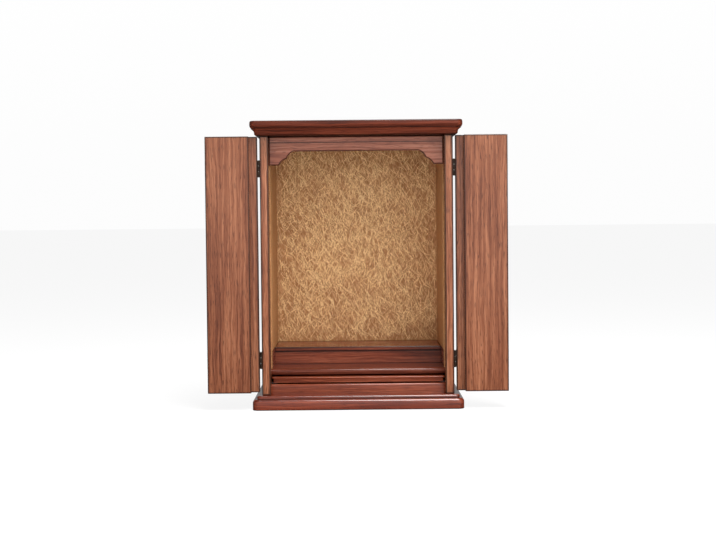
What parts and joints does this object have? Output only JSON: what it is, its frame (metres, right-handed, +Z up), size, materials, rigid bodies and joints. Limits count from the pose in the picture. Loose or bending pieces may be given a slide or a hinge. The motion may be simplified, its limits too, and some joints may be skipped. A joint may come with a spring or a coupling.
{
  "type": "household altar cabinet",
  "caption": "Small tabletop wooden altar cabinet with moulded base and cornice, gold-lined interior, stepped shelf, pull-out board and two-leaf folding doors.",
  "frame": {"origin": "centre of the underside of the base, at the middle of the footprint of the base and cornice", "axes": "+X to the cabinet's right as seen from the front, +Y to the back, +Z up; the doors are fully open at rest"},
  "size_m": [0.4444, 0.23, 0.424],
  "materials": {
    "door_wood": "satin reddish brown lacquer over straight vertical grain",
    "body_wood": "satin reddish brown lacquer",
    "dark_wood": "darker red-brown lacquer, semi-gloss",
    "plain_back": "plain stained back board",
    "gold_paper": "ochre paper with random gold fibres",
    "bronze": "dark bronze"
  },
  "bodies": {
    "root": {"base": "dark_wood", "cornice": "dark_wood", "back_board": "plain_back", "ceiling": "dark_wood", "back_lining": "gold_paper", "frieze": "body_wood", "shelf": "dark_wood", "step_board": "dark_wood", "step_riser": "dark_wood", "bottom_rail": "body_wood", "left_wall": "body_wood", "left_lining": "gold_paper", "left_runner": "body_wood", "left_lower_main_hinge_wall_half": "bronze", "left_upper_main_hinge_wall_half": "bronze", "right_wall": "body_wood", "right_lining": "gold_paper", "right_runner": "body_wood", "right_lower_main_hinge_wall_half": "bronze", "right_upper_main_hinge_wall_half": "bronze"},
    "left_door": {"left_main_leaf": "door_wood", "left_lower_main_hinge_leaf_half": "bronze", "left_lower_fold_hinge_main_half": "bronze", "left_upper_main_hinge_leaf_half": "bronze", "left_upper_fold_hinge_main_half": "bronze"},
    "left_door_fold": {"left_folding_leaf": "door_wood", "left_lower_fold_hinge_folding_half": "bronze", "left_upper_fold_hinge_folding_half": "bronze"},
    "right_door": {"right_main_leaf": "door_wood", "right_lower_main_hinge_leaf_half": "bronze", "right_lower_fold_hinge_main_half": "bronze", "right_upper_main_hinge_leaf_half": "bronze", "right_upper_fold_hinge_main_half": "bronze"},
    "right_door_fold": {"right_folding_leaf": "door_wood", "right_lower_fold_hinge_folding_half": "bronze", "right_upper_fold_hinge_folding_half": "bronze"},
    "pull_board": {"pull_board": "dark_wood"}
  },
  "joints": [
    {"name": "left_door_hinge", "type": "hinge", "parent": "root", "child": "left_door", "pos_m": [-0.143, -0.09825, 0.21325], "axis": [0, 0, -1], "range_deg": [-180, 0]},
    {"name": "left_fold_hinge", "type": "hinge", "parent": "left_door", "child": "left_door_fold", "pos_m": [-0.22125, -0.09875, 0.21325], "axis": [0, 0, 1], "range_deg": [-180, 0]},
    {"name": "right_door_hinge", "type": "hinge", "parent": "root", "child": "right_door", "pos_m": [0.143, -0.09825, 0.21325], "axis": [0, 0, 1], "range_deg": [-180, 0]},
    {"name": "right_fold_hinge", "type": "hinge", "parent": "right_door", "child": "right_door_fold", "pos_m": [0.22125, -0.09875, 0.21325], "axis": [0, 0, -1], "range_deg": [-180, 0]},
    {"name": "pull_board_slide", "type": "slide", "parent": "root", "child": "pull_board", "axis": [0, -1, 0], "range_m": [0, 0.1]}
  ]
}
